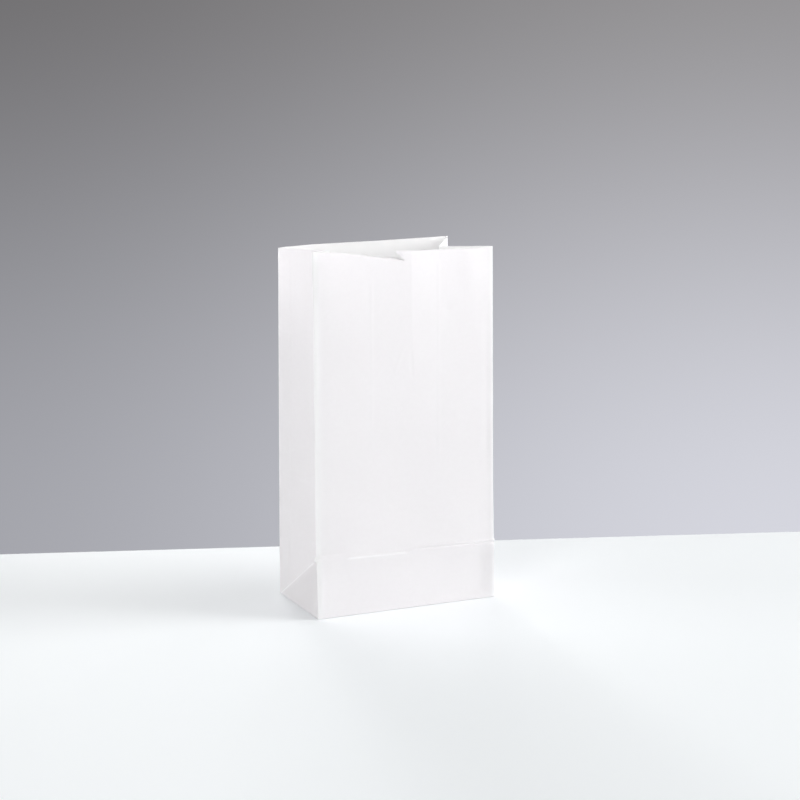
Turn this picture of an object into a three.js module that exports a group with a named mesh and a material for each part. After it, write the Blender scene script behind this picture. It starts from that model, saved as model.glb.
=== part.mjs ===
// An open paper bag that stands by itself: two flat panels, two side gussets that are
// folded a little way inwards, and a block bottom. One sheet of paper, one closed solid.
// Millimetres. +Z is up, the front panel faces -Y, and the origin is the middle of the base.

import * as THREE from 'three';

// The paper, as it is cut and folded.
const PANEL_WIDTH = 136;
const GUSSET_WIDTH = 85;
const BAG_HEIGHT = 254;
const BASE_DEPTH = 75.6;
const WALL = 0.5;
const FLOOR = 0.8;

// The folds, as heights above the base and as shares of the panel's width from its left edge.
const BASE_FOLD_HEIGHT = 43;
const GUSSET_APEX_HEIGHT = 36.5;
const PRESSED_LEFT = GUSSET_WIDTH / 2 / PANEL_WIDTH;
const PRESSED_RIGHT = 1 - PRESSED_LEFT;
const RIDGE = 0.53;

// Where the four upright folds stand, in Y, at the mouth and just above the base fold.
const HALF_BASE = BASE_DEPTH / 2;
const MOUTH_FRONT_LEFT = -38.2;
const MOUTH_FRONT_RIGHT = -35.5;
const MOUTH_BACK_LEFT = 27.9;
const MOUTH_BACK_RIGHT = 37.6;
const ABOVE_FOLD_LEFT = -36.2;
const ABOVE_FOLD_RIGHT = -37;

// How far the middle crease of each gusset is pushed inwards.
const GUSSET_DEPTH_LOW = 21.5;
const GUSSET_DEPTH_MOUTH_LEFT = 26.5;
const GUSSET_DEPTH_MOUTH_RIGHT = 24;
const CREASE_FLAT = 1.2;
const CORNER_FLAT = 1.5;

// The base fold: the paper below it stands proud, and the fold line is pressed in.
const STRIP_TOP = BASE_FOLD_HEIGHT - 0.6;
const FOLD_BOTTOM = BASE_FOLD_HEIGHT + 0.4;
const LEDGE_TOP = BASE_FOLD_HEIGHT + 2.4;
const FOLD_DENT = 1;

// The front panel's gentle upright ridge, and the bow of the back panel.
const RIDGE_HEIGHT = 1.8;
const RIDGE_FOOT = 140;
const BACK_BOW = 1.2;

// The mouth's edge: how far it lies above or below BAG_HEIGHT at each fold.
const RISE_FRONT_LEFT = 1;
const RISE_FRONT_RIGHT = -0.8;
const RISE_BACK_LEFT = -1.1;
const RISE_BACK_NEAR = 0.3;
const RISE_BACK_RIGHT = 1.3;
const RISE_GUSSETS = -2;
const BACK_NEAR = 0.2;

// The part of the front edge that is bent into the mouth.
const FLAP_START = 0.18;
const FLAP_END = 0.46;
const FLAP_STEP_END = 0.5;
const FLAP_PAPER = 7;
const FLAP_ANGLE = THREE.MathUtils.degToRad(60);

// How finely the sheet is divided.
const ROWS_STRIP = 4;
const ROWS_BODY = 12;
const COLUMNS_PANEL_EDGE = 4;
const COLUMNS_PANEL_MIDDLE = 2;
const COLUMNS_BACK = 10;
const COLUMNS_GUSSET_HALF = 3;
const COLUMNS_CREASE = 2;

const { clamp, lerp } = THREE.MathUtils;

// n numbers from a up to, but without, b
function spaced(a, b, n) {
  return Array.from({ length: n }, (_, i) => a + ((b - a) * i) / n);
}

// how far z has come on its way from a to b, from 0 to 1
function share(z, a, b) {
  return clamp((z - a) / (b - a), 0, 1);
}

// 1 at the middle, falling in straight lines to 0 at a and b
function tent(z, a, middle, b) {
  return Math.min(share(z, a, middle), 1 - share(z, middle, b));
}

// The front fold lines lean: upright strip, a ledge at the base fold, then the body's lean.
function frontFoldY(z, aboveFold, atMouth) {
  const strip = lerp(-HALF_BASE, -HALF_BASE + 0.3, share(z, 0, STRIP_TOP));
  const body = lerp(aboveFold, atMouth, share(z, LEDGE_TOP, BAG_HEIGHT));
  return lerp(strip, body, share(z, STRIP_TOP, LEDGE_TOP));
}

function corners(z) {
  const k = share(z, 0, BAG_HEIGHT);
  const x = PANEL_WIDTH / 2;
  return {
    frontLeft: new THREE.Vector2(-x, frontFoldY(z, ABOVE_FOLD_LEFT, MOUTH_FRONT_LEFT)),
    frontRight: new THREE.Vector2(x, frontFoldY(z, ABOVE_FOLD_RIGHT, MOUTH_FRONT_RIGHT)),
    backRight: new THREE.Vector2(x, lerp(HALF_BASE, MOUTH_BACK_RIGHT, k)),
    backLeft: new THREE.Vector2(-x, lerp(HALF_BASE, MOUTH_BACK_LEFT, k)),
  };
}

// The two ends of a gusset's middle: above the apex the narrow crease, below it the
// bottom triangle, which opens out to the whole side of the base.
function gussetMiddle(front, back, z, depthAtMouth, inwards) {
  const k = share(z, 0, GUSSET_APEX_HEIGHT);
  const depth = lerp(GUSSET_DEPTH_LOW, depthAtMouth, share(z, GUSSET_APEX_HEIGHT, BAG_HEIGHT));
  const x = front.x + inwards * depth * k;
  const y = (front.y + back.y) / 2;
  return {
    near: new THREE.Vector2(x, lerp(front.y + CORNER_FLAT, y - CREASE_FLAT / 2, k)),
    far: new THREE.Vector2(x, lerp(back.y - CORNER_FLAT, y + CREASE_FLAT / 2, k)),
  };
}

// How far the front panel stands out of the plane between its two folds.
function frontOut(u, z) {
  const ridge = RIDGE_HEIGHT * tent(u, 0, RIDGE, 1) * share(z, RIDGE_FOOT, BAG_HEIGHT);
  const dent = FOLD_DENT * tent(z, STRIP_TOP, FOLD_BOTTOM, LEDGE_TOP);
  return ridge - dent;
}

function backOut(u, z) {
  return BACK_BOW * Math.sin(Math.PI * u) * Math.sin(Math.PI * share(z, 0, BAG_HEIGHT));
}

// The paper height of the bent part of the front edge at each place along it.
function flapPaper(u) {
  const grown = FLAP_PAPER * share(u, FLAP_START, FLAP_END);
  return grown * (1 - share(u, FLAP_END, FLAP_STEP_END));
}

function frontRise(u) {
  const edge = lerp(RISE_FRONT_LEFT, RISE_FRONT_RIGHT, u);
  return edge - flapPaper(u) * (1 - Math.cos(FLAP_ANGLE));
}

function backRise(u) {
  if (u < BACK_NEAR) return lerp(RISE_BACK_LEFT, RISE_BACK_NEAR, u / BACK_NEAR);
  return lerp(RISE_BACK_NEAR, RISE_BACK_RIGHT, (u - BACK_NEAR) / (1 - BACK_NEAR));
}

// One ring of the outer face at height z, anticlockwise from the front left fold.
function ring(z, atMouth) {
  const { frontLeft, frontRight, backRight, backLeft } = corners(z);
  const right = gussetMiddle(frontRight, backRight, z, GUSSET_DEPTH_MOUTH_RIGHT, -1);
  const left = gussetMiddle(frontLeft, backLeft, z, GUSSET_DEPTH_MOUTH_LEFT, 1);
  const points = [];

  const add = (from, to, share01, out, rise) => {
    const p = from.clone().lerp(to, share01);
    points.push(new THREE.Vector3(p.x, p.y + out, atMouth ? z + rise : z));
  };
  const addRun = (from, to, n, riseFrom, riseTo) => {
    for (const t of spaced(0, 1, n)) add(from, to, t, 0, lerp(riseFrom, riseTo, t));
  };

  for (const u of FRONT_SHARES) {
    const bent = atMouth ? flapPaper(u) * Math.sin(FLAP_ANGLE) : 0;
    add(frontLeft, frontRight, u, bent - frontOut(u, z), frontRise(u));
  }
  addRun(frontRight, right.near, COLUMNS_GUSSET_HALF, RISE_FRONT_RIGHT, RISE_GUSSETS);
  addRun(right.near, right.far, COLUMNS_CREASE, RISE_GUSSETS, RISE_GUSSETS);
  addRun(right.far, backRight, COLUMNS_GUSSET_HALF, RISE_GUSSETS, RISE_BACK_RIGHT);
  for (const t of spaced(0, 1, COLUMNS_BACK)) {
    add(backRight, backLeft, t, backOut(1 - t, z), backRise(1 - t));
  }
  addRun(backLeft, left.far, COLUMNS_GUSSET_HALF, RISE_BACK_LEFT, RISE_GUSSETS);
  addRun(left.far, left.near, COLUMNS_CREASE, RISE_GUSSETS, RISE_GUSSETS);
  addRun(left.near, frontLeft, COLUMNS_GUSSET_HALF, RISE_GUSSETS, RISE_FRONT_LEFT);
  return points;
}

// The columns of the front panel stand on its folds.
const FRONT_SHARES = [
  ...spaced(0, PRESSED_LEFT, COLUMNS_PANEL_EDGE),
  ...spaced(PRESSED_LEFT, FLAP_END, COLUMNS_PANEL_MIDDLE),
  FLAP_END,
  RIDGE,
  ...spaced(RIDGE, PRESSED_RIGHT, COLUMNS_PANEL_MIDDLE).slice(1),
  ...spaced(PRESSED_RIGHT, 1, COLUMNS_PANEL_EDGE),
];

const HEIGHTS = [
  ...spaced(FLOOR, GUSSET_APEX_HEIGHT, ROWS_STRIP),
  GUSSET_APEX_HEIGHT,
  STRIP_TOP,
  FOLD_BOTTOM,
  LEDGE_TOP,
  ...spaced(LEDGE_TOP, BAG_HEIGHT - FLAP_PAPER, ROWS_BODY).slice(1),
  BAG_HEIGHT - FLAP_PAPER,
  BAG_HEIGHT,
];

// A ring moved inwards by a distance, with every corner kept sharp.
function inset(points, distance, z) {
  const n = points.length;
  return points.map((p, i) => {
    const before = points[(i + n - 1) % n];
    const after = points[(i + 1) % n];
    const a = new THREE.Vector2(p.x - before.x, p.y - before.y).normalize();
    const b = new THREE.Vector2(after.x - p.x, after.y - p.y).normalize();
    const normal = new THREE.Vector2(-a.y - b.y, a.x + b.x);
    normal.multiplyScalar((2 * distance) / normal.lengthSq());
    return new THREE.Vector3(p.x + normal.x, p.y + normal.y, z ?? p.z);
  });
}

// A closed solid from a stack of rings: up the outer face, over the mouth, down the inner
// face, with the first and the last ring closed by a flat cap.
function closedStack(rings) {
  const positions = [];
  const push = (a, b, c) => positions.push(...a.toArray(), ...b.toArray(), ...c.toArray());
  const n = rings[0].length;
  for (let r = 0; r + 1 < rings.length; r += 1) {
    for (let i = 0; i < n; i += 1) {
      const j = (i + 1) % n;
      push(rings[r][i], rings[r][j], rings[r + 1][j]);
      push(rings[r][i], rings[r + 1][j], rings[r + 1][i]);
    }
  }
  addCap(push, rings[0], true);
  addCap(push, rings[rings.length - 1], false);
  const geometry = new THREE.BufferGeometry();
  geometry.setAttribute('position', new THREE.Float32BufferAttribute(positions, 3));
  geometry.computeVertexNormals();
  return geometry;
}

function addCap(push, points, facesDown) {
  const middle = new THREE.Vector3(0, 0, points[0].z);
  points.forEach((p, i) => {
    const next = points[(i + 1) % points.length];
    if (facesDown) push(middle, next, p);
    else push(middle, p, next);
  });
}

function bagGeometry() {
  const outer = HEIGHTS.map((z, i) => ring(z, i === HEIGHTS.length - 1));
  const inner = outer.map((points) => inset(points, WALL));
  const sole = inset(outer[0], FLOOR, 0);
  return closedStack([sole, ...outer, ...inner.reverse()]);
}

const paper = new THREE.MeshStandardMaterial({ color: 0xf4f2f3, roughness: 0.72, metalness: 0 });

const bag = new THREE.Mesh(bagGeometry(), paper);
bag.name = 'bag';

const model = new THREE.Group();
model.add(bag);

export default model;
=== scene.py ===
"""An open white paper bag with a block bottom, standing on a pale floor.

The bag is one sheet of paper: two panels, two gussets that are folded a little way inwards,
and a bottom of pasted flaps. Its surface is worked out here in millimetres, over a grid that
runs round the bag (columns) and up its height (rows), and is turned into metres when a mesh
is made. +Z is up, the front panel faces -Y, and the origin is the middle of the base.
"""

import math

import bmesh
import bpy
import numpy as np
from mathutils import Matrix, Vector

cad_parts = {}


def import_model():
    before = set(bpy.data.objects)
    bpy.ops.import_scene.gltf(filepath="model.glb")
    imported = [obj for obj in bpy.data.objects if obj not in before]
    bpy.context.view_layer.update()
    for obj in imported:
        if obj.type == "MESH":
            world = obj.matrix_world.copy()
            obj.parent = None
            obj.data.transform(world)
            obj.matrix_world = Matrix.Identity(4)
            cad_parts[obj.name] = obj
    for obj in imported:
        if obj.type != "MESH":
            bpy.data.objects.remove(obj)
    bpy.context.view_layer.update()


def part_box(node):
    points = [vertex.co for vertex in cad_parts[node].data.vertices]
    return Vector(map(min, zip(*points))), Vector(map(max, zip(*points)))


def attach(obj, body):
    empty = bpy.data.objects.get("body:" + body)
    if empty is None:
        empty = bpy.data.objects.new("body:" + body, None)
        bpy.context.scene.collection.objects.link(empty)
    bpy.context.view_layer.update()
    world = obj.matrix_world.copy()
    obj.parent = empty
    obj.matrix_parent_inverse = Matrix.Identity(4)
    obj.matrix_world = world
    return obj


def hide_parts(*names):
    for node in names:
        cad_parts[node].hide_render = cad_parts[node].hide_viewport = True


MM = 0.001

# The photograph's camera.
IMAGE_SIZE = 800
FOCAL_PIXELS = 1874.57
SENSOR_MM = 36.0
CAMERA_PITCH = math.radians(9.838)
CAMERA_YAW = math.radians(23.9)
CAMERA_ROLL = math.radians(-0.432)
CAMERA_DISTANCE = 1.316
CAMERA_SIDE = 0.01123
CAMERA_HEIGHT = 0.37169

# The folds, as heights above the base.
GUSSET_WIDTH = 85.0
BASE_DEPTH = 75.6
GUSSET_APEX_HEIGHT = 36.5
STRIP_TOP = 41.6
LEDGE_TOP = 45.4

# Where the four upright folds stand, in Y, at the mouth and just above the base fold.
MOUTH_FRONT_LEFT = -38.2
MOUTH_FRONT_RIGHT = -35.5
MOUTH_BACK_LEFT = 27.9
MOUTH_BACK_RIGHT = 37.6
ABOVE_FOLD_LEFT = -36.2
ABOVE_FOLD_RIGHT = -37.0

# The base fold across the front, as heights at shares of the panel's width.
BASE_FOLD = [(0.0, 43.2), (0.172, 43.0), (0.481, 40.6), (0.595, 42.6), (0.994, 41.4), (1.0, 41.4)]

# How far the middle crease of each gusset is pushed inwards.
GUSSET_DEPTH_LOW = 21.5
GUSSET_DEPTH_MOUTH_LEFT = 26.5
GUSSET_DEPTH_MOUTH_RIGHT = 24.0
CREASE_FLAT = 0.6
CORNER_FLAT = 1.5

# How far the front folds stray outwards. The left one does at the mouth, and in a short pinch
# where the base fold ends. The right one does all the way up, and more at its foot.
LEFT_FOLD_OUT_AT_MOUTH = 0.6
PINCH = 1.6
PINCH_HEIGHT = 42.4
PINCH_HALF_HEIGHT = 1.6
RIGHT_FOLD_OUT = 0.4
RIGHT_FOLD_OUT_AT_FOOT = 0.5

# How close to each fold line the paper starts to bend. The near fold is rounder at the mouth.
NEAR_RADIUS_LOW = 0.8
NEAR_RADIUS_HIGH = 1.2
OUTER_RADIUS = 0.6
CREASE_RADIUS = 0.7
MOST_OF_A_RUN = 0.45

# The front panel's upright ridge: its place across the panel at some heights.
RIDGE_LINE = [(130.0, 0.66), (144.0, 0.633), (163.8, 0.551), (198.2, 0.535), (245.8, 0.529)]
RIDGE_FOOT = 136.0
RIDGE_OUT = 3.3

# A rounded fold's outermost point lies this share of its bend's length inside the corner.
TIP_LOSS = 0.33

# The mouth's edge: how far it lies above or below the bag's nominal height.
RISE_BACK_RIGHT = 1.3
FRONT_RISE = [
    (0.0, 1.0), (0.04, 0.6), (0.1, 0.3), (0.15, -0.1), (0.2, -0.4), (0.5, -0.7),
    (0.56, -1.0), (0.65, -1.2), (0.85, -1.4), (0.97, -1.6), (1.0, -0.8),
]
BACK_RISE = [(0.0, -1.2), (0.05, -0.7), (0.2, -0.05), (0.6, 0.15), (1.0, 0.8)]
RISE_CREASE_LEFT = -1.8
RISE_CREASE_RIGHT = -2.8

# The left part of the front edge is bent into the mouth along a slanting fold line, which
# is given as heights at shares of the panel's width. A short slanting tear at its right
# parts it from the upright rest of the edge.
FLAP_FOLD = [
    (0.0, 262.0), (0.1, 256.5), (0.15, 254.3), (0.2, 252.9), (0.228, 252.2),
    (0.311, 250.4), (0.392, 248.6), (0.522, 246.1),
]
FLAP_ANGLE = math.radians(79)
FLAP_ROUND = 0.6
TEAR_FOOT = 0.495
TEAR_TOP = 0.44
TEAR_FOOT_HEIGHT = 246.3

# The bend starts this far from the tear's foot, and the tear's upright side leans in a little.
TEAR_EASE_ACROSS = 3.0
TEAR_EASE_UP = 1.2
TEAR_CURL = 0.6
TEAR_CURL_WIDTH = 2.2
TEAR_CURL_RISE = 4.0

# The wall behind is a plain graded backdrop. It blends from the tone at its foot to the tone high
# up between two angles above the level, and from a darker left to a lighter right between two
# angles across. Below its foot, past the floor, everything is pale.
WALL_STRENGTH = 1.4
PALE_BELOW = (0.8, 0.82, 0.84)
WALL_FOOT = (0.48, 0.485, 0.53)
WALL_HIGH = (0.2, 0.194, 0.198)
WALL_BY_HEIGHT = [(-14.9, PALE_BELOW), (-14.6, WALL_FOOT), (5.5, WALL_HIGH)]
WALL_ACROSS = [(-15.0, (0.55, 0.55, 0.55)), (13.0, (1.0, 1.0, 1.0))]

# The sheet, and the pasted bottom.
PAPER = 0.22
SOLE_HEIGHT = 0.2
FOOT_RADIUS = 0.35
SEAM_WIDTH = 10.0
SEAM_STEP = 0.3

# The pasted bottom flaps: how far each reaches past the middle, and its lowest and highest Z.
FRONT_BOTTOM_REACH = 9.0
FRONT_BOTTOM_LAYER = (0.02, 0.12)
BACK_BOTTOM_REACH = 8.0
BACK_BOTTOM_LAYER = (0.11, 0.21)
BOTTOM_FLAP_INSET = 1.2

# The grid. The front and the back have the same number of columns, and so have the sides.
PANEL_COLUMNS = 110
GUSSET_COLUMNS = 24
MIDDLE_COLUMNS = 18
FOLD_COLUMNS = 5
WALL_ROWS = 230
FOOT_ROWS = 4
RUN_COLUMNS = [PANEL_COLUMNS + 1, GUSSET_COLUMNS, MIDDLE_COLUMNS, GUSSET_COLUMNS] * 2
NOISE_CELLS = 64
NOISE_OFFSET = 1000.0

# Colours: the paper's two outer tones, its folds (lighter partly from wear, partly as painted
# highlight), its inside (lighter as painted light), and the floor.
OUTER_TONES = [(0.35, (0.88, 0.844, 0.868)), (0.65, (0.888, 0.853, 0.877))]
# The folds' colour is lighter partly as real wear of creased fibres and partly as a painted
# highlight.
WORN_AND_HIGHLIGHT_COLOUR = (0.998, 0.962, 0.99)
# The inside face is lighter than the outer paper as painted light, standing in for the light that
# fills the bag.
INSIDE_LIGHTENED_COLOUR = (0.992, 0.985, 0.985)
FLOOR_COLOUR = (0.94, 0.975, 0.985)

# Two points of the floor's far edge, as columns and rows of the photograph.
FLOOR_EDGE_LEFT = (172.0, 549.5)
FLOOR_EDGE_RIGHT = (628.0, 536.5)
FLOOR_REACH = 3.0

# Soft round lights, all turned to the bag's middle: name, place, diameter and power.
LIGHT_TARGET = (0.0, 0.0, 0.12)
LIGHTS = [
    ("key", (2.6, -1.2, 1.2), 1.9, 52.5),
    ("front_right", (2.2, -1.9, 0.9), 1.6, 16.4),
    ("front_left", (-2.2, -2.2, 0.9), 1.2, 30.8),
    ("left", (-2.9, -0.4, 0.8), 1.5, 11.0),
    ("left_behind", (-2.7, 1.0, 1.2), 1.5, 12.5),
    ("behind_high", (0.7, 2.7, 1.3), 1.5, 16.0),
    ("behind_low", (0.4, 2.8, 0.24), 0.4, 28.0),
    ("right_behind", (2.4, 1.8, 0.24), 0.4, 13.0),
    ("above", (0.0, -0.2, 2.2), 1.6, 10.0),
]


# ---------------------------------------------------------------- shapes of one number


def share(value, start, end):
    """How far value has come on its way from start to end, from 0 to 1."""
    return np.clip((value - start) / (end - start), 0.0, 1.0)


def ease(t):
    return t * t * (3.0 - 2.0 * t)


def between(value, start, end, soft):
    """1 from start to end, falling softly to 0 over a distance outside them."""
    return ease(share(value, start - soft, start)) * (1.0 - ease(share(value, end, end + soft)))


def bump(value, middle, half_width):
    """A smooth hump of height 1."""
    return np.exp(-(((value - middle) / half_width) ** 2))


def mix(a, b, t):
    return a + (b - a) * t


def along(points, u):
    """The broken line through the points, at u."""
    places, values = zip(*points)
    return np.interp(u, places, values)


def ripple(a, b, cell_a, cell_b, seed):
    """Smooth noise from -1 to 1 over two coordinates, with cells of the sizes given."""
    rng = np.random.default_rng(seed)
    table = rng.uniform(-1.0, 1.0, (NOISE_CELLS, NOISE_CELLS))
    p = a / cell_a + NOISE_OFFSET
    q = b / cell_b + NOISE_OFFSET
    i = np.floor(p).astype(int)
    j = np.floor(q).astype(int)
    s = ease(p - i)
    t = ease(q - j)
    i, j = i % NOISE_CELLS, j % NOISE_CELLS
    next_i, next_j = (i + 1) % NOISE_CELLS, (j + 1) % NOISE_CELLS
    low = mix(table[i, j], table[next_i, j], s)
    high = mix(table[i, next_j], table[next_i, next_j], s)
    return mix(low, high, t)


def graded(length, count, places, coarse_to_fine=5.0, reach=4.0):
    """count + 1 numbers from 0 to length that lie closer together near the places."""
    x = np.linspace(0.0, length, 2000)
    density = np.ones_like(x)
    for place in places:
        density += (coarse_to_fine - 1.0) * bump(x, place, reach)
    total = np.concatenate([[0.0], np.cumsum((density[1:] + density[:-1]) / 2.0)])
    return np.interp(np.linspace(0.0, total[-1], count + 1), total, x)


# ---------------------------------------------------------------- the bag's form


class Form:
    """The driving sizes of the bag, read from the frame, in millimetres."""

    def __init__(self):
        low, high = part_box("bag")
        self.width = (high.x - low.x) / MM
        self.height = high.z / MM - RISE_BACK_RIGHT
        self.pressed_left = GUSSET_WIDTH / 2.0 / self.width
        self.pressed_right = 1.0 - self.pressed_left

    def share_across(self, x):
        """The place x as a share of the panel's width from its left edge."""
        return (x + self.width / 2.0) / self.width


def front_fold_y(form, z, above_fold, at_mouth):
    """The front fold lines lean: upright strip, a ledge at the base fold, then the body."""
    strip = -BASE_DEPTH / 2.0 + mix(0.0, 0.3, share(z, 0.0, STRIP_TOP))
    body = mix(above_fold, at_mouth, share(z, LEDGE_TOP, form.height))
    return mix(strip, body, ease(share(z, STRIP_TOP, LEDGE_TOP)))


def gusset_middle(front, back, z, form, depth_at_mouth, inwards):
    """The two ends of a gusset's middle: a crease above the apex, a triangle below it."""
    k = share(z, 0.0, GUSSET_APEX_HEIGHT)
    depth = mix(GUSSET_DEPTH_LOW, depth_at_mouth, share(z, GUSSET_APEX_HEIGHT, form.height))
    x = front[:, 0] + inwards * depth * k
    y = (front[:, 1] + back[:, 1]) / 2.0
    near = np.stack([x, mix(front[:, 1] + CORNER_FLAT, y - CREASE_FLAT / 2.0, k)], axis=1)
    far = np.stack([x, mix(back[:, 1] - CORNER_FLAT, y + CREASE_FLAT / 2.0, k)], axis=1)
    return near, far


def fold_radii(form, z):
    """How far from each fold line the paper starts to bend, at each height."""
    k = share(z, GUSSET_APEX_HEIGHT, form.height)
    near = mix(NEAR_RADIUS_LOW, NEAR_RADIUS_HIGH, k)
    plain = np.full_like(z, OUTER_RADIUS)
    crease = np.full_like(z, CREASE_RADIUS)
    return [near, plain, crease, crease, plain, plain, crease, crease]


def upright_fold(form, z, side, bend, y, seed):
    """A fold line near x = side * half the width, a little uneven, in plan at each height."""
    folded = share(z, 0.0, GUSSET_APEX_HEIGHT)
    uneven = 0.09 * ripple(z, 0.0 * z, 19.0, 1.0, seed)
    x = form.width / 2.0 + TIP_LOSS * bend * folded + uneven
    return np.stack([side * x, y], axis=1)


def corner_lines(form, z):
    """The eight folds of the ring at each height, anticlockwise from the front left one."""
    k = share(z, 0.0, form.height)
    near, plain = fold_radii(form, z)[:2]
    front_y = front_fold_y(form, z, ABOVE_FOLD_LEFT, MOUTH_FRONT_LEFT)
    front_left = upright_fold(form, z, -1.0, near, front_y, 11)
    front_left[:, 0] -= LEFT_FOLD_OUT_AT_MOUTH * ease(share(z, 225.0, 248.0))
    front_y = front_fold_y(form, z, ABOVE_FOLD_RIGHT, MOUTH_FRONT_RIGHT)
    front_right = upright_fold(form, z, 1.0, plain, front_y, 12)
    at_foot = 1.0 - ease(share(z, 36.0, 50.0))
    front_right[:, 0] += RIGHT_FOLD_OUT + RIGHT_FOLD_OUT_AT_FOOT * at_foot
    back_y = mix(BASE_DEPTH / 2.0, MOUTH_BACK_RIGHT, k)
    back_right = upright_fold(form, z, 1.0, plain, back_y, 13)
    back_y = mix(BASE_DEPTH / 2.0, MOUTH_BACK_LEFT, k)
    back_left = upright_fold(form, z, -1.0, plain, back_y, 14)
    right = gusset_middle(front_right, back_right, z, form, GUSSET_DEPTH_MOUTH_RIGHT, -1.0)
    left = gusset_middle(front_left, back_left, z, form, GUSSET_DEPTH_MOUTH_LEFT, 1.0)
    front_left[:, 0] -= PINCH * bump(z, PINCH_HEIGHT, PINCH_HALF_HEIGHT)
    return [front_left, front_right, *right, back_right, back_left, *reversed(left)]


def length_of(v):
    return np.maximum(np.linalg.norm(v, axis=-1, keepdims=True), 1e-9)


def follow_tear(form, t, z):
    """Slides the front's columns sideways so that one of them lies on the tear."""
    k = share(z, TEAR_FOOT_HEIGHT, form.height)
    here = mix(TEAR_FOOT, TEAR_TOP, k)
    if t < TEAR_FOOT:
        return t * here / TEAR_FOOT
    return 1.0 - (1.0 - t) * (1.0 - here) / (1.0 - TEAR_FOOT)


def run_shares(form, run):
    """Where a run's columns stand along it, from 0 to 1."""
    half = GUSSET_WIDTH / 2.0
    if run == 0:
        tear = TEAR_FOOT * form.width
        places = [0.0, half, tear - 4.0, tear + 4.0, form.width - half, form.width]
        shares = graded(form.width, PANEL_COLUMNS, places, 3.0) / form.width
        column = np.argmin(np.abs(shares - TEAR_FOOT))
        shares[column] = TEAR_FOOT
        return np.insert(shares, column, TEAR_FOOT)
    if run == 4:
        places = [0.0, half, form.width - half, form.width]
        return graded(form.width, PANEL_COLUMNS + 1, places, 3.0) / form.width
    if run in (2, 6):
        return np.linspace(0.0, 1.0, MIDDLE_COLUMNS + 1)
    places = [0.0, half] if run != 5 else [0.0, SEAM_WIDTH, half]
    return graded(half, GUSSET_COLUMNS, places, 7.0, 1.6) / half


def ring_grid(form, z):
    """Points of the undented bag, (rows, columns, 2), and each column's run.

    The runs are: 0 front, 1 right front half-gusset, 2 right middle, 3 right back
    half-gusset, 4 back, 5 left back half-gusset, 6 left middle, 7 left front half-gusset.
    """
    corners = corner_lines(form, z)
    radii = fold_radii(form, z)
    n = len(corners)
    starts = []
    ends = []
    for i in range(n):
        ahead = corners[(i + 1) % n] - corners[i]
        behind = corners[i] - corners[i - 1]
        reach = np.minimum(length_of(ahead), length_of(behind)) * MOST_OF_A_RUN
        trim = np.minimum(radii[i][:, None], reach)
        ends.append(corners[i] - behind / length_of(behind) * trim)
        starts.append(corners[i] + ahead / length_of(ahead) * trim)
    columns = []
    runs = []
    on_fold = []
    for i in range(n):
        for s in np.arange(FOLD_COLUMNS) / FOLD_COLUMNS:
            bend = (1 - s) ** 2 * ends[i] + 2 * s * (1 - s) * corners[i] + s**2 * starts[i]
            columns.append(bend)
            runs.append(i if s >= 0.5 else (i - 1) % n)
            on_fold.append(True)
        for t in run_shares(form, i)[:-1]:
            place = follow_tear(form, t, z)[:, None] if i == 0 else t
            columns.append(mix(starts[i], ends[(i + 1) % n], place))
            runs.append(i)
            on_fold.append(False)
    return np.stack(columns, axis=1), np.array(runs), np.array(on_fold)


def tear_column(form):
    """The column of the tear's left side. Its right side is the next one."""
    shares = run_shares(form, 0)
    return FOLD_COLUMNS + int(np.argmax(shares == TEAR_FOOT))


def wall_heights(form):
    """The rows' heights, closer together at the foot, the base fold, two creases and the mouth."""
    low = SOLE_HEIGHT + FOOT_RADIUS
    span = form.height - low
    places = [low, 36.0, 39.5, 42.5, 45.0, 89.0, 109.0, 246.0, 250.0, form.height]
    heights = low + graded(span, WALL_ROWS, [place - low for place in places], 3.4, 2.4)
    heights[np.argmin(np.abs(heights - TEAR_FOOT_HEIGHT))] = TEAR_FOOT_HEIGHT
    return heights


# ---------------------------------------------------------------- folds, dents and creases


def front_relief(form, x, z):
    """How far the front panel stands out of the plane between its folds."""
    u = x / form.width
    out = ridge_relief(form, u, z)
    out += pressed_lines(form, u, z)
    out += base_fold_relief(u, z)
    out += strip_relief(u, z)
    swell = 1.0 * bump(u, 0.88, 0.07) * ease(share(z, 185.0, form.height))
    hollow = 0.2 * bump(x, form.width - 5.0, 2.2) * between(z, 112.0, 196.0, 20.0)
    dent = 0.22 * bump(x, 0.738 * form.width, 4.0) * bump(z, 212.0, 4.5)
    return out + swell - hollow - dent + small_wrinkles(form, x, z)


def ridge_relief(form, u, z):
    """An upright ridge that dies out downwards, with a flatter wedge at its right."""
    ridge = along(RIDGE_LINE, z)
    height = RIDGE_OUT * share(z, RIDGE_FOOT, form.height) ** 0.75
    left = share(u, 0.0, ridge)
    wedge = mix(1.0, 0.5, share(u, ridge, form.pressed_right))
    right = np.where(u < form.pressed_right, wedge, 0.5 * (1 - share(u, form.pressed_right, 1.0)))
    beside = bump(u * form.width, ridge * form.width - 1.8, 1.2)
    groove = 0.14 * beside * between(z, 170.0, 179.0, 6.0)
    return height * np.where(u < ridge, left, right) - groove


def small_wrinkles(form, x, z):
    """Short creases of handling: place across, height, lean, half width, half length, size."""
    creases = [
        (0.277, 162.0, -0.5, 1.0, 5.0, 0.16),
        (0.245, 172.0, -0.9, 1.1, 6.0, -0.14),
        (0.34, 168.0, 0.8, 1.2, 6.0, 0.13),
        (0.46, 176.0, 0.4, 1.3, 8.0, 0.10),
        (0.10, 205.0, 0.6, 1.2, 7.0, 0.09),
        (0.78, 138.0, -0.3, 1.3, 7.0, 0.09),
        (0.42, 118.0, 0.7, 1.3, 8.0, -0.09),
        (0.62, 88.0, -0.6, 1.4, 8.0, 0.08),
        (0.16, 88.0, 0.5, 1.4, 9.0, 0.08),
    ]
    out = 0.0 * x
    for place, height, lean, half_width, half_length, size in creases:
        across = x - place * form.width - lean * (z - height)
        out += size * bump(across, 0.0, half_width) * bump(z, height, half_length)
    return out


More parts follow.
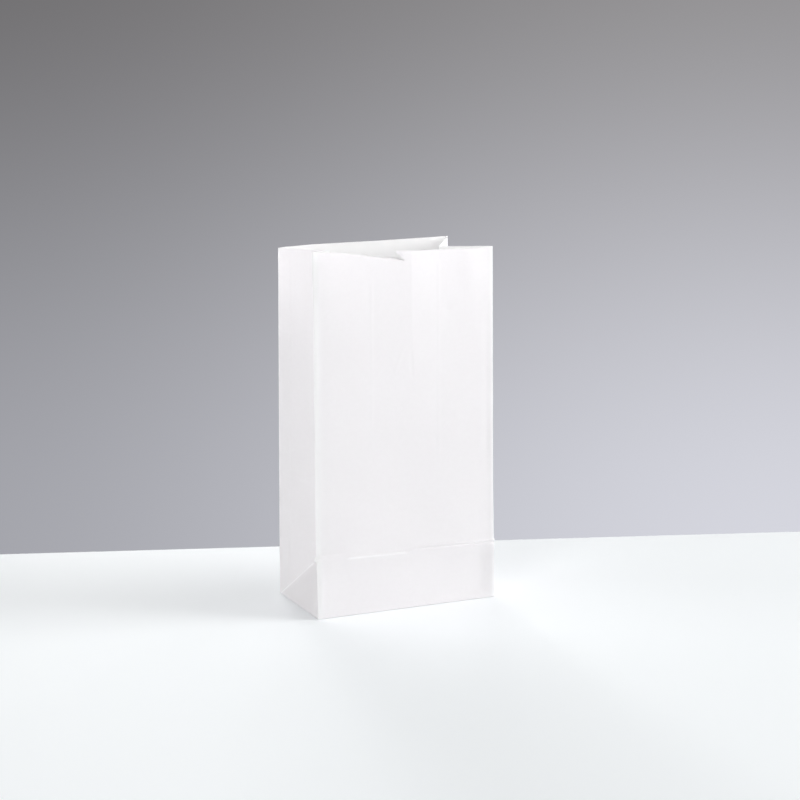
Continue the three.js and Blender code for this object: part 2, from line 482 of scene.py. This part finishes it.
def pressed_lines(form, u, z):
    """Faint upright ridges where the folded gussets' inner creases pressed into a panel."""
    x = u * form.width
    left = bump(x, form.pressed_left * form.width, 1.0) * between(z, 118.0, 226.0, 14.0)
    right = bump(x, form.pressed_right * form.width, 1.0) * between(z, 100.0, 240.0, 10.0)
    patchy = 0.7 + 0.3 * ripple(z, x, 15.0, 60.0, 21)
    return 0.09 * patchy * (left + right)


def base_fold_relief(u, z):
    """The strip's top edge: a ledge at its left half, and a small pressed ridge at its right."""
    line = along(BASE_FOLD, u)
    fill = along([(0.0, 0.0), (0.17, 1.3), (0.5, 0.9), (0.6, 0.6), (1.0, 0.3)], u)
    body = fill * ease(share(z, STRIP_TOP, LEDGE_TOP)) * (1.0 - ease(share(z, LEDGE_TOP, 90.0)))
    ledge = along([(0.0, 0.0), (0.13, 0.1), (0.21, 0.6), (0.46, 0.65), (0.55, 0.25), (0.64, 0.0)], u)
    step = (1.0 - share(z, line - 0.1, line + 0.9)) * ease(share(z, 28.0, 40.0))
    ridge = along([(0.0, 0.15), (0.5, 0.1), (0.6, 0.3), (0.9, 0.55), (1.0, 0.6)], u)
    valley = along([(0.52, 0.0), (0.62, 0.3), (0.9, 0.5), (1.0, 0.6)], u)
    out = body + ledge * step + ridge * bump(z, line + 1.0, 0.7)
    return out - valley * bump(z, line - 0.3, 0.6)


def strip_relief(u, z):
    """The strip below the base fold is hollow, and it flares at the foot towards the right."""
    middle = np.sin(np.pi * share(z, 0.0, STRIP_TOP))
    below = 1.0 - ease(share(z, 30.0, STRIP_TOP))
    hollow = 0.6 * middle * between(u, 0.12, 0.9, 0.1)
    flare_top = along([(0.55, 2.5), (0.63, 3.8), (0.98, 7.0)], u)
    flare = 1.2 * share(u, 0.5, 0.72) * (1 - share(u, 0.93, 1.0)) * share(z, 0.8, flare_top)
    facet = 0.5 * share(u, 0.0, 0.355) * (1 - share(u, 0.355, 0.7)) * middle
    smudge = 0.35 * bump(u, 0.951, 0.02) * bump(z, 20.7, 7.0)
    return facet - hollow - flare * below - smudge


def back_relief(form, x, z):
    """The back panel bows out gently. x is measured from its left edge as the front is."""
    u = x / form.width
    bow = 1.1 * np.sin(np.pi * u) * np.sin(np.pi * share(z, 0.0, form.height))
    bend = 0.5 * bump(z + 0.18 * x, 158.0, 2.6) * between(u, 0.18, 0.8, 0.12)
    fold = 0.35 * bump(z - 0.4 * x, 62.0, 2.2) * between(u, 0.3, 0.75, 0.1)
    edge = 0.3 * (1.0 - share(z, 76.0, 78.0)) * share(z, 0.0, 30.0)
    return bow + bend - fold - edge + 3.0 * pressed_lines(form, u, z)


def gusset_relief(distance, z, run):
    """Waves and two slanting creases of a gusset. distance is measured from the outer fold."""
    seed = 51 + 3 * run
    out = 0.7 * ripple(distance, z, 26.0, 60.0, seed) * between(distance, 8.0, 32.0, 7.0)
    out += 0.16 * ripple(distance, z, 7.0, 11.0, seed + 1) * between(distance, 5.0, 36.0, 3.0)
    lean = z - 0.25 * (distance - 14.0)
    out -= 0.25 * bump(lean, 109.0, 1.2) * between(distance, 14.0, 26.0, 4.0)
    out += 0.32 * bump(z + 0.3 * (distance - 20.0), 89.0, 1.3) * between(distance, 12.0, 29.0, 4.0)
    return out


def cockle(a, z, seed):
    """The slight waviness of a handled sheet."""
    wide = 0.36 * ripple(a, z, 34.0, 46.0, seed)
    middle = 0.12 * ripple(a, z, 13.0, 17.0, seed + 1)
    fine = 0.02 * ripple(a, z, 4.5, 5.5, seed + 2)
    return wide + middle + fine


def relief(form, grid, z, runs):
    """The outward shift of every point of the grid."""
    corners = corner_lines(form, z)
    outer_folds = {1: corners[1], 3: corners[4], 5: corners[5], 7: corners[0]}
    out = np.zeros(grid.shape[:2])
    heights = np.repeat(z[:, None], grid.shape[1], axis=1)
    for run in range(8):
        cols = runs == run
        p = grid[:, cols]
        h = heights[:, cols]
        if run in (0, 4):
            x = p[..., 0] + form.width / 2.0
            away = ease(share(x, 0.0, 5.0)) * ease(share(form.width - x, 0.0, 5.0))
            plain = front_relief if run == 0 else back_relief
            waviness = cockle(x, h, 31) if run == 0 else 1.5 * cockle(x, h, 41)
            out[:, cols] = plain(form, x, h) + waviness * away
        elif run in outer_folds:
            distance = length_of(p - outer_folds[run][:, None, :])[..., 0]
            out[:, cols] = gusset_relief(distance, h, run) * ease(share(h, 30.0, 60.0))
            if run == 5:
                lap = 1.0 - share(distance, SEAM_WIDTH - 0.3, SEAM_WIDTH + 0.3)
                out[:, cols] += SEAM_STEP * lap * share(distance, 0.0, 2.0)
    return out * share(heights, 0.0, 6.0)


def ring_normals(grid):
    """Level outward normals of the rings."""
    ahead = np.roll(grid, -1, axis=1) - np.roll(grid, 1, axis=1)
    normal = np.stack([ahead[..., 1], -ahead[..., 0]], axis=-1)
    return normal / length_of(normal)


def rim_rise(form, top, runs):
    """How far the mouth's edge lies above or below the nominal height, for each column."""
    rise = np.zeros(len(runs))
    u = form.share_across(top[:, 0])
    rise[runs == 0] = along(FRONT_RISE, u[runs == 0])
    rise[runs == 4] = along(BACK_RISE, u[runs == 4])
    right = ((1, 2, 3), GUSSET_DEPTH_MOUTH_RIGHT, RISE_CREASE_RIGHT, 1.0)
    left = ((7, 6, 5), GUSSET_DEPTH_MOUTH_LEFT, RISE_CREASE_LEFT, -1.0)
    for side_runs, depth, crease, side in (right, left):
        inwards = share(form.width / 2.0 - side * top[:, 0], 0.0, depth)
        fold = 0 if side < 0 else -1
        for run in side_runs:
            cols = runs == run
            outer = FRONT_RISE[fold][1] if run == side_runs[0] else BACK_RISE[fold][1]
            rise[cols] = mix(outer, crease, inwards[cols])
    return rise


def bend_flap(form, points, tear, foot):
    """Bends the front edge into the mouth, left of the tear and above the fold line."""
    flap = points[:, :tear + 1]
    past = flap[..., 2] - along(FLAP_FOLD, form.share_across(flap[..., 0]))
    bent = (past + np.sqrt(past**2 + FLAP_ROUND**2)) / 2.0
    beside = (flap[..., 0] - points[foot, tear, 0]) / TEAR_EASE_ACROSS
    above = np.maximum(flap[..., 2] - points[foot, tear, 2], 0.0) / TEAR_EASE_UP
    bent *= ease(np.clip(np.hypot(beside, above), 0.0, 1.0))
    flap[..., 1] += bent * math.sin(FLAP_ANGLE)
    flap[..., 2] -= bent * (1.0 - math.cos(FLAP_ANGLE))


def curl_tear(points, tear, foot, last):
    """The upright side of the tear leans in a little along its free edge."""
    edge = points[:, tear + 1:last]
    away = edge[..., 0] - points[:, tear + 1:tear + 2, 0]
    start = points[foot, tear, 2]
    risen = share(edge[..., 2], start, start + TEAR_CURL_RISE)
    edge[..., 1] += TEAR_CURL * bump(away, 0.0, TEAR_CURL_WIDTH) * risen


def outer_face(form):
    """The outer face of the walls, (rows, columns, 3), from the foot up, and its columns."""
    z = wall_heights(form)
    grid, runs, on_fold = ring_grid(form, z)
    shifted = grid + ring_normals(grid) * relief(form, grid, z, runs)[..., None]
    near_rim = share(z, form.height - 12.0, form.height)
    heights = z[:, None] + rim_rise(form, grid[-1], runs)[None, :] * near_rim[:, None]
    points = np.concatenate([shifted, heights[..., None]], axis=2)
    tear = tear_column(form)
    foot = int(np.argmax(z == TEAR_FOOT_HEIGHT))
    bend_flap(form, points, tear, foot)
    curl_tear(points, tear, foot, FOLD_COLUMNS + PANEL_COLUMNS)
    return round_foot(points), runs, on_fold, tear, foot + FOOT_ROWS


def round_foot(points):
    """Adds the rounded turn from the wall to the sole, below the lowest ring."""
    ring = points[0]
    normal = ring_normals(ring[None, :, :2])[0]
    rows = []
    for a in np.linspace(0.0, math.pi / 2.0, FOOT_ROWS, endpoint=False):
        row = ring.copy()
        row[:, :2] -= normal * FOOT_RADIUS * (1.0 - math.sin(a))
        row[:, 2] -= FOOT_RADIUS * math.cos(a)
        rows.append(row)
    return np.concatenate([np.stack(rows), points], axis=0)


def grid_normals(points, tear, foot):
    """Normals of the grid, which closes on itself sideways and is open along the tear."""
    sideways = np.roll(points, -1, axis=1) - np.roll(points, 1, axis=1)
    sideways[:, tear] = points[:, tear] - points[:, tear - 1]
    sideways[:, tear + 1] = points[:, tear + 2] - points[:, tear + 1]
    normal = np.cross(sideways, np.gradient(points, axis=0))
    normal /= length_of(normal)
    whole = normal[:foot + 1, tear] + normal[:foot + 1, tear + 1]
    whole /= length_of(whole)
    normal[:foot + 1, tear] = whole
    normal[:foot + 1, tear + 1] = whole
    return normal


# ---------------------------------------------------------------- meshes


def wall_faces(rows, columns, first, tear, foot):
    """Quads of a grid that closes on itself sideways, with its points numbered from first."""
    r, c = np.meshgrid(np.arange(rows - 1), np.arange(columns), indexing="ij")
    a = first + r * columns + c
    b = first + r * columns + (c + 1) % columns
    quads = np.stack([a, b, b + columns, a + columns], axis=-1)
    open_part = (c == tear) & (r >= foot)
    return quads[~open_part]


def edge_faces(outer, inner, rows, columns, tear, foot):
    """The cut edges: over the mouth, and down both sides of the tear."""
    c = np.arange(columns)
    c = c[c != tear]
    d = (c + 1) % columns
    top = (rows - 1) * columns
    rim = np.stack([outer + top + c, outer + top + d, inner + top + d, inner + top + c], axis=1)
    low = np.arange(foot, rows - 1) * columns + tear
    high = low + columns
    left = np.stack([outer + low, inner + low, inner + high, outer + high], axis=1)
    low, high = low + 1, high + 1
    right = np.stack([inner + low, outer + low, outer + high, inner + high], axis=1)
    return np.concatenate([rim, left, right])


def cap_grid(ring, corners):
    """A grid of points that fills a ring of four sides, by blending between the sides.

    corners are the ring's places of the front left, front right, back right and back left
    turns. Returns the points and the ring's own places along the grid's border.
    """
    n = len(ring)
    fl, fr, br, bl = corners
    across = fr - fl
    deep = br - fr
    front = [(fl + i) % n for i in range(across + 1)]
    back = [(bl - i) % n for i in range(across + 1)]
    right = [(fr + i) % n for i in range(deep + 1)]
    left = [(fl - i) % n for i in range(deep + 1)]
    f, b = ring[front][:, None, :], ring[back][:, None, :]
    lft, rgt = ring[left][None, :, :], ring[right][None, :, :]
    t = (lft[..., 1:2] - ring[fl][1]) / (ring[bl][1] - ring[fl][1])
    s = (f[..., 0:1] - ring[fl][0]) / (ring[fr][0] - ring[fl][0])
    near = mix(ring[fl], ring[fr], s)
    far = mix(ring[bl], ring[br], s)
    points = mix(f, b, t) + mix(lft, rgt, s) - mix(near, far, t)
    return points, (front, right, back, left)


class MeshMaker:
    """Collects points and faces, and makes one mesh object of them."""

    def __init__(self):
        self.points = []
        self.faces = []
        self.marks = {"wear": [], "inside": []}
        self.count = 0

    def add_points(self, points, **marks):
        flat = points.reshape(-1, 3)
        first = self.count
        self.points.append(flat)
        for name, values in self.marks.items():
            values.append(np.broadcast_to(marks.get(name, 0.0), (len(flat),)))
        self.count += len(flat)
        return first

    def add_faces(self, faces):
        self.faces.extend(np.asarray(faces).tolist())

    def build(self, name, material):
        mesh = bpy.data.meshes.new(name)
        co = np.concatenate(self.points) * MM
        mesh.from_pydata(co.tolist(), [], self.faces)
        for mark, values in self.marks.items():
            attribute = mesh.attributes.new(mark, "FLOAT", "POINT")
            attribute.data.foreach_set("value", np.concatenate(values).astype(np.float32))
        weld(mesh)
        mesh.polygons.foreach_set("use_smooth", [True] * len(mesh.polygons))
        mesh.set_sharp_from_angle(angle=math.radians(50))
        mesh.materials.append(material)
        mesh.update()
        piece = bpy.data.objects.new(name, mesh)
        bpy.context.scene.collection.objects.link(piece)
        return piece


def weld(mesh):
    """Joins the points that lie on each other, which closes the seam below the tear."""
    work = bmesh.new()
    work.from_mesh(mesh)
    bmesh.ops.remove_doubles(work, verts=work.verts, dist=1e-7)
    work.to_mesh(mesh)
    work.free()


def add_cap(maker, ring_first, ring, corners, floor_relief, inside):
    """Fills a ring with a grid whose border is the ring's own points."""
    points, (front, right, back, left) = cap_grid(ring, corners)
    across, deep = points.shape[0] - 1, points.shape[1] - 1
    inner = points[1:-1, 1:-1].copy()
    inner[..., 2] += floor_relief(inner[..., 0], inner[..., 1])
    first = maker.add_points(inner, inside=float(inside))
    index = np.zeros((across + 1, deep + 1), int)
    index[1:-1, 1:-1] = first + np.arange((across - 1) * (deep - 1)).reshape(across - 1, deep - 1)
    index[:, 0] = ring_first + np.array(front)
    index[:, -1] = ring_first + np.array(back)
    index[-1, :] = ring_first + np.array(right)
    index[0, :] = ring_first + np.array(left)
    a, b = index[:-1, :-1], index[1:, :-1]
    c, d = index[1:, 1:], index[:-1, 1:]
    quads = np.stack([a, b, c, d], axis=-1).reshape(-1, 4)
    maker.add_faces(quads if inside else quads[:, ::-1])


def wear_of(form, points, on_fold, runs):
    """Where the paper is worn or carries a painted highlight: its folds (wear and painted
    highlight), the base fold's lip and the front beside its folds (painted highlight).
    """
    wear = np.zeros(points.shape[:2])
    wear[:, on_fold] = 1.0
    spread = wear.copy()
    for step, strength in ((1, 0.75), (2, 0.4)):
        spread = np.maximum(spread, strength * np.roll(wear, step, axis=1))
        spread = np.maximum(spread, strength * np.roll(wear, -step, axis=1))
    spread[:, np.isin(runs, (2, 6))] *= 0.3
    u = form.share_across(points[..., 0])
    # Painted highlight: a light band along the base fold's lip, over the front's left half.
    lip_highlight = bump(points[..., 2], along([(0, 41.4), (0.5, 40.7), (1.0, 41.0)], u), 0.8)
    lip_highlight *= between(u, 0.19, 0.48, 0.03)
    x = u * form.width
    # Painted highlight: a lighter band beside the front's left fold and a narrower one beside its
    # right fold.
    highlight_beside_folds = 0.85 * bump(x, 0.0, 4.0) + 0.5 * bump(x, form.width, 1.6)
    front = np.maximum(spread, np.maximum(lip_highlight, highlight_beside_folds))
    return np.where((runs == 0)[None, :], front, spread)


def ring_turns():
    """The ring's places of the four outer folds' middles."""
    turns = []
    offset = 0
    for i, count in enumerate(RUN_COLUMNS):
        if i in (0, 1, 4, 5):
            turns.append(offset + FOLD_COLUMNS // 2)
        offset += FOLD_COLUMNS + count
    return turns


def inside_floor_relief(form):
    """The pasted layers of the bottom, as they show on the bag's inside floor."""

    def at(x, y):
        half_width, half_depth = form.width / 2.0, BASE_DEPTH / 2.0
        slant = np.abs(np.abs(x) - (half_width - (half_depth - np.abs(y))))
        return 0.12 * bump(slant, 0.0, 0.9) - 0.1 * bump(np.abs(y - 7.0), 0.0, 0.8)

    return at


def no_relief(x, y):
    return 0.0 * x


def bottom_flap(form, reach, back):
    """The outline of a pasted bottom flap: its sides slant in at 45 degrees from the corners."""
    half_width = form.width / 2.0 - BOTTOM_FLAP_INSET
    half_depth = BASE_DEPTH / 2.0 - BOTTOM_FLAP_INSET
    length = half_depth + reach
    narrow = half_width - length
    right = [(half_width, 0.0), (half_width - 1.0, 1.6)]
    right += [(half_width - length * t, length * t) for t in (0.25, 0.5, 0.75)]
    right += [(narrow + 2.2, length - 1.4), (narrow - 0.2, length)]
    left = [(-x, y) for x, y in reversed(right)]
    outline = np.array(right + left)
    outline[:, 1] -= half_depth
    return -outline if back else outline


def add_slab(maker, outline, low, high):
    """A thin flat layer of paper with the outline given."""
    n = len(outline)
    under = maker.add_points(np.column_stack([outline, np.full(n, low)]))
    over = maker.add_points(np.column_stack([outline, np.full(n, high)]))
    i = np.arange(n)
    j = (i + 1) % n
    maker.add_faces([under + i[::-1]])
    maker.add_faces([over + i])
    maker.add_faces(np.stack([under + i, under + j, over + j, over + i], axis=1))


def make_bag(form, material):
    """The whole bag as one mesh: both faces of the walls, the cut edges and the bottom."""
    points, runs, on_fold, tear, foot = outer_face(form)
    rows, columns = points.shape[:2]
    inner = points - grid_normals(points, tear, foot) * PAPER
    wear = wear_of(form, points, on_fold, runs).reshape(-1)
    maker = MeshMaker()
    outer_first = maker.add_points(points, wear=wear)
    inner_first = maker.add_points(inner, wear=wear * 0.5, inside=1.0)
    maker.add_faces(wall_faces(rows, columns, outer_first, tear, foot))
    maker.add_faces(wall_faces(rows, columns, inner_first, tear, foot)[:, ::-1])
    maker.add_faces(edge_faces(outer_first, inner_first, rows, columns, tear, foot))
    turns = ring_turns()
    add_cap(maker, outer_first, points[0], turns, no_relief, inside=False)
    add_cap(maker, inner_first, inner[0], turns, inside_floor_relief(form), inside=True)
    add_slab(maker, bottom_flap(form, FRONT_BOTTOM_REACH, back=False), *FRONT_BOTTOM_LAYER)
    add_slab(maker, bottom_flap(form, BACK_BOTTOM_REACH, back=True), *BACK_BOTTOM_LAYER)
    return maker.build("paper_bag", material)


# ---------------------------------------------------------------- materials


def new_material(name):
    material = bpy.data.materials.new(name)
    material.use_nodes = True
    return material, material.node_tree.nodes, material.node_tree.links


def paper_material():
    """White paper that lets some light through, with cloudy tones, fibres, folds lightened by wear
    and a painted highlight, and an inside lightened as painted light.
    """
    material, nodes, links = new_material("white_paper")
    shader = nodes["Principled BSDF"]
    shader.inputs["Roughness"].default_value = 0.62
    shader.inputs["Specular IOR Level"].default_value = 0.35
    shader.inputs["Subsurface Weight"].default_value = 1.0
    shader.inputs["Subsurface Radius"].default_value = (1.0, 1.0, 1.0)
    shader.inputs["Subsurface Scale"].default_value = 0.0005
    cloudy, fibres = paper_noises(nodes, links)
    links.new(paper_colour(nodes, links, cloudy), shader.inputs["Base Color"])
    links.new(paper_bump(nodes, links, cloudy, fibres), shader.inputs["Normal"])
    return material


def paper_noises(nodes, links):
    """Cloudy tones of about 2 mm, and fibres that are drawn out upwards."""
    place = nodes.new("ShaderNodeTexCoord")
    cloudy = nodes.new("ShaderNodeTexNoise")
    cloudy.inputs["Scale"].default_value = 420.0
    cloudy.inputs["Detail"].default_value = 4.0
    links.new(place.outputs["Object"], cloudy.inputs["Vector"])
    stretch = nodes.new("ShaderNodeMapping")
    stretch.inputs["Scale"].default_value = (1.0, 1.0, 0.35)
    links.new(place.outputs["Object"], stretch.inputs["Vector"])
    fibres = nodes.new("ShaderNodeTexNoise")
    fibres.inputs["Scale"].default_value = 2600.0
    fibres.inputs["Detail"].default_value = 3.0
    links.new(stretch.outputs["Vector"], fibres.inputs["Vector"])
    return cloudy.outputs["Fac"], fibres.outputs["Fac"]


def paper_colour(nodes, links, cloudy):
    tone = nodes.new("ShaderNodeValToRGB")
    for element, (position, colour) in zip(tone.color_ramp.elements, OUTER_TONES):
        element.position = position
        element.color = (*colour, 1.0)
    links.new(cloudy, tone.inputs["Fac"])
    # Folds are lightened partly as wear and partly as painted highlight; the base fold's lip and the
    # front beside its folds get painted highlight.
    worn_and_highlit = colour_at_mark(nodes, links, tone.outputs["Color"], "wear", WORN_AND_HIGHLIGHT_COLOUR)
    # The inside face is lightened as painted light, for the light that fills the bag.
    return colour_at_mark(nodes, links, worn_and_highlit, "inside", INSIDE_LIGHTENED_COLOUR)


def colour_at_mark(nodes, links, plain, mark, colour):
    """Blends from the plain colour to another one as the mesh's mark goes from 0 to 1."""
    attribute = nodes.new("ShaderNodeAttribute")
    attribute.attribute_name = mark
    blend = nodes.new("ShaderNodeMix")
    blend.data_type = "RGBA"
    blend.inputs["B"].default_value = (*colour, 1.0)
    links.new(attribute.outputs["Fac"], blend.inputs["Factor"])
    links.new(plain, blend.inputs["A"])
    return blend.outputs["Result"]


def paper_bump(nodes, links, cloudy, fibres):
    height = nodes.new("ShaderNodeMath")
    height.operation = "MULTIPLY_ADD"
    height.inputs[1].default_value = 0.12
    links.new(cloudy, height.inputs[0])
    links.new(fibres, height.inputs[2])
    raised = nodes.new("ShaderNodeBump")
    raised.inputs["Strength"].default_value = 0.25
    raised.inputs["Distance"].default_value = 0.00004
    links.new(height.outputs["Value"], raised.inputs["Height"])
    return raised.outputs["Normal"]


def floor_material():
    material, nodes, _ = new_material("pale_floor")
    shader = nodes["Principled BSDF"]
    shader.inputs["Base Color"].default_value = (*FLOOR_COLOUR, 1.0)
    shader.inputs["Specular IOR Level"].default_value = 0.15
    shader.inputs["Roughness"].default_value = 0.7
    return material


# ---------------------------------------------------------------- stage, light and camera


def camera_axes():
    forward_level = Vector((math.sin(CAMERA_YAW), math.cos(CAMERA_YAW), 0.0))
    right = Vector((math.cos(CAMERA_YAW), -math.sin(CAMERA_YAW), 0.0))
    forward = forward_level * math.cos(CAMERA_PITCH) + Vector((0.0, 0.0, -math.sin(CAMERA_PITCH)))
    up = right.cross(forward)
    turned_right = right * math.cos(CAMERA_ROLL) + up * math.sin(CAMERA_ROLL)
    turned_up = up * math.cos(CAMERA_ROLL) - right * math.sin(CAMERA_ROLL)
    place = right * CAMERA_SIDE - forward_level * CAMERA_DISTANCE + Vector((0.0, 0.0, CAMERA_HEIGHT))
    return place, turned_right, turned_up, forward


def make_camera():
    place, right, up, forward = camera_axes()
    data = bpy.data.cameras.new("camera")
    data.sensor_width = SENSOR_MM
    data.lens = SENSOR_MM * FOCAL_PIXELS / IMAGE_SIZE
    data.clip_start = 0.01
    data.clip_end = 50.0
    camera = bpy.data.objects.new("camera", data)
    bpy.context.scene.collection.objects.link(camera)
    turn = Matrix((right, up, -forward)).transposed()
    camera.matrix_world = Matrix.Translation(place) @ turn.to_4x4()
    bpy.context.scene.camera = camera


def make_floor():
    """A pale table top whose far edge is the line where the photograph's wall starts."""
    place, right, up, forward = camera_axes()
    middle_of_image = IMAGE_SIZE / 2.0

    def point_at(column, row):
        across = (column - middle_of_image) / FOCAL_PIXELS
        down = (row - middle_of_image) / FOCAL_PIXELS
        ray = forward + right * across - up * down
        return place + ray * (-place.z / ray.z)

    left_edge = point_at(*FLOOR_EDGE_LEFT)
    right_edge = point_at(*FLOOR_EDGE_RIGHT)
    middle = (left_edge + right_edge) / 2.0
    sideways = (right_edge - left_edge).normalized() * FLOOR_REACH
    nearer = Vector((-forward.x, -forward.y, 0.0)).normalized() * (2.0 * FLOOR_REACH)
    far_side = [middle - sideways, middle + sideways]
    near_side = [far_side[1] + nearer, far_side[0] + nearer]
    corners = [tuple(corner) for corner in far_side + near_side]
    mesh = bpy.data.meshes.new("floor")
    mesh.from_pydata(corners, [], [(3, 2, 1, 0)])
    mesh.materials.append(floor_material())
    floor = bpy.data.objects.new("floor", mesh)
    bpy.context.scene.collection.objects.link(floor)


def add_area_light(name, place, size, power):
    data = bpy.data.lights.new(name, "AREA")
    data.shape = "DISK"
    data.size = size
    data.energy = power
    lamp = bpy.data.objects.new(name, data)
    bpy.context.scene.collection.objects.link(lamp)
    lamp.location = place
    direction = Vector(LIGHT_TARGET) - Vector(place)
    lamp.rotation_euler = direction.to_track_quat("-Z", "Y").to_euler()


def make_world():
    """A grey wall that grows lighter downwards and towards the photograph's right."""
    world = bpy.data.worlds.new("studio")
    bpy.context.scene.world = world
    world.use_nodes = True
    nodes, links = world.node_tree.nodes, world.node_tree.links
    background = nodes["Background"]
    direction = nodes.new("ShaderNodeTexCoord")

    heights = direction_ramp(nodes, links, direction, (0.0, 0.0, 1.0), WALL_BY_HEIGHT)
    sideways = (math.cos(CAMERA_YAW), -math.sin(CAMERA_YAW), 0.0)
    across = direction_ramp(nodes, links, direction, sideways, WALL_ACROSS)
    both = nodes.new("ShaderNodeMix")
    both.data_type = "RGBA"
    both.blend_type = "MULTIPLY"
    both.inputs["Factor"].default_value = 1.0
    links.new(heights.outputs["Color"], both.inputs["A"])
    links.new(across.outputs["Color"], both.inputs["B"])
    links.new(both.outputs["Result"], background.inputs["Color"])
    background.inputs["Strength"].default_value = WALL_STRENGTH


def direction_ramp(nodes, links, direction, axis, stops):
    """Colours by the angle, in degrees, at which a direction rises along a fixed axis."""
    rise = nodes.new("ShaderNodeVectorMath")
    rise.operation = "DOT_PRODUCT"
    rise.inputs[1].default_value = axis
    links.new(direction.outputs["Generated"], rise.inputs[0])
    unit = nodes.new("ShaderNodeMapRange")
    unit.inputs["From Min"].default_value = -1.0
    unit.inputs["From Max"].default_value = 1.0
    links.new(rise.outputs["Value"], unit.inputs["Value"])
    ramp = nodes.new("ShaderNodeValToRGB")
    ramp.color_ramp.interpolation = "EASE"
    links.new(unit.outputs["Result"], ramp.inputs["Fac"])
    elements = ramp.color_ramp.elements
    while len(elements) < len(stops):
        elements.new(0.5)
    for element, (angle, colour) in zip(elements, stops):
        element.position = (math.sin(math.radians(angle)) + 1.0) / 2.0
        element.color = (*colour, 1.0)
    return ramp


def make_lights():
    """A key from the right, softer light from the left, and light from behind the bag."""
    for name, place, size, power in LIGHTS:
        add_area_light(name, place, size, power)


def main():
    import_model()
    form = Form()
    make_camera()
    make_world()
    make_lights()
    make_floor()

    paper = paper_material()
    bag = make_bag(form, paper)
    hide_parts("bag")
    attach(bag, "root")

    bpy.context.scene.view_settings.view_transform = "Standard"


main()
